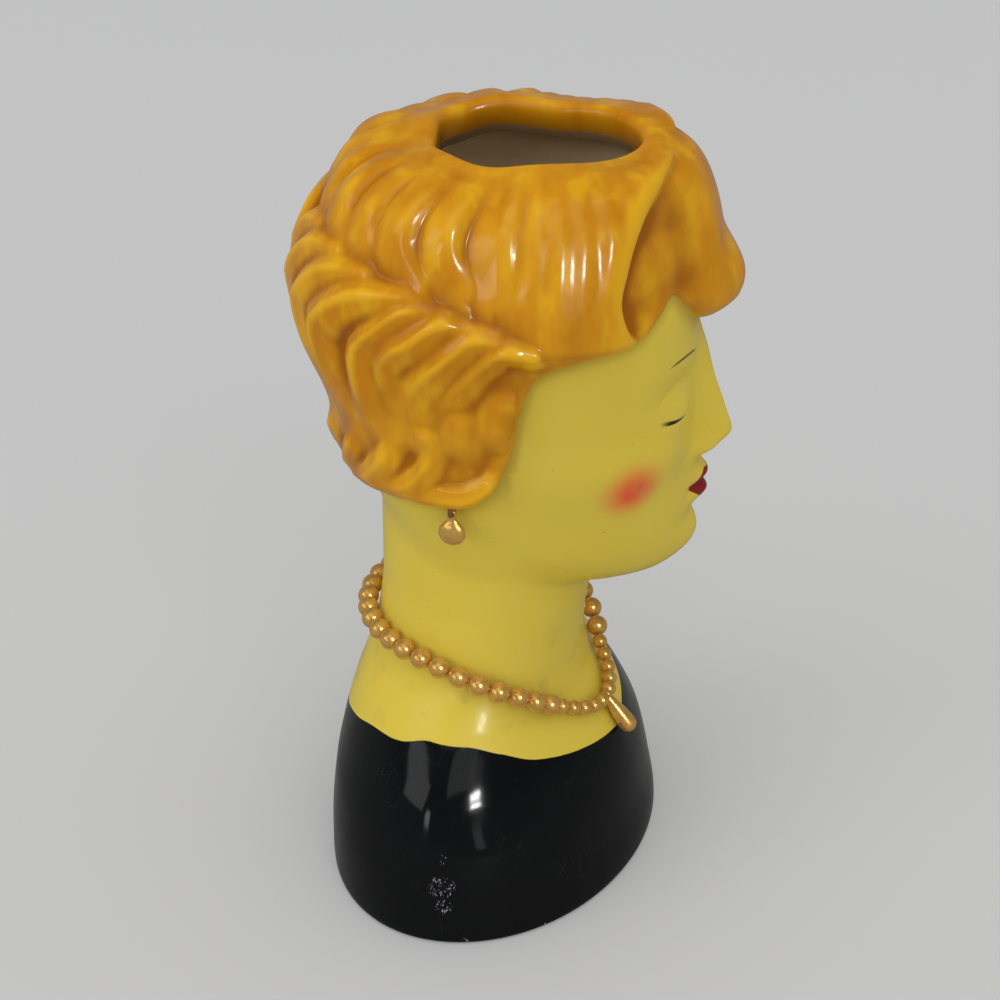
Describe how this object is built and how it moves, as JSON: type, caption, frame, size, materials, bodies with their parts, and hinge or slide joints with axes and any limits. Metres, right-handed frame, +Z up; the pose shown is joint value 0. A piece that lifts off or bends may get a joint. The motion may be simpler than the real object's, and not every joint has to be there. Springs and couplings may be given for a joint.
{
  "type": "head planter",
  "caption": "Glazed ceramic planter shaped as a lady's head and bust, open at the crown for a plant, with a strung bead necklace, a drop pendant and swinging drop earrings.",
  "frame": {"origin": "centre of the flat foot, on the table", "axes": "+Z up; the bust faces -Y and its right side is -X"},
  "size_m": [0.1078, 0.1022, 0.1861],
  "materials": {
    "glaze": "gloss glaze in amber, yellow and black",
    "gold_paint": "worn gold paint",
    "wire": "drawn wire"
  },
  "bodies": {
    "planter": {"ceramic_body": "glaze", "necklace_wire": "wire", "right_ear_loop": "wire", "left_ear_loop": "wire", "bead_01": "gold_paint", "bead_02": "gold_paint", "bead_03": "gold_paint", "bead_04": "gold_paint", "bead_05": "gold_paint", "bead_06": "gold_paint", "bead_07": "gold_paint", "bead_08": "gold_paint", "bead_09": "gold_paint", "bead_10": "gold_paint", "bead_11": "gold_paint", "bead_12": "gold_paint", "bead_13": "gold_paint", "bead_14": "gold_paint", "bead_15": "gold_paint", "bead_16": "gold_paint", "bead_17": "gold_paint", "bead_18": "gold_paint", "bead_19": "gold_paint", "bead_20": "gold_paint", "bead_21": "gold_paint", "bead_22": "gold_paint", "bead_23": "gold_paint", "bead_24": "gold_paint", "bead_25": "gold_paint", "bead_26": "gold_paint", "bead_27": "gold_paint", "bead_28": "gold_paint", "bead_29": "gold_paint", "bead_30": "gold_paint", "bead_31": "gold_paint", "bead_32": "gold_paint", "bead_33": "gold_paint", "bead_34": "gold_paint", "bead_35": "gold_paint", "bead_36": "gold_paint", "bead_37": "gold_paint", "bead_38": "gold_paint", "bead_39": "gold_paint", "bead_40": "gold_paint"},
    "pendant": {"pendant_drop": "gold_paint"},
    "right_earring": {"right_ear_drop": "gold_paint"},
    "left_earring": {"left_ear_drop": "gold_paint"}
  },
  "joints": [
    {"name": "pendant_swing", "type": "hinge", "parent": "planter", "child": "pendant", "pos_m": [0, -0.02861, 0.042], "axis": [-1, 0, 0], "range_deg": [0, 75]},
    {"name": "right_earring_swing", "type": "hinge", "parent": "planter", "child": "right_earring", "pos_m": [-0.03519, -0.00215, 0.1071], "axis": [-0.9981, -0.061, 0], "range_deg": [-25, 25]},
    {"name": "left_earring_swing", "type": "hinge", "parent": "planter", "child": "left_earring", "pos_m": [0.03155, 0.01573, 0.1071], "axis": [0.8949, 0.4462, 0], "range_deg": [-25, 25]}
  ]
}
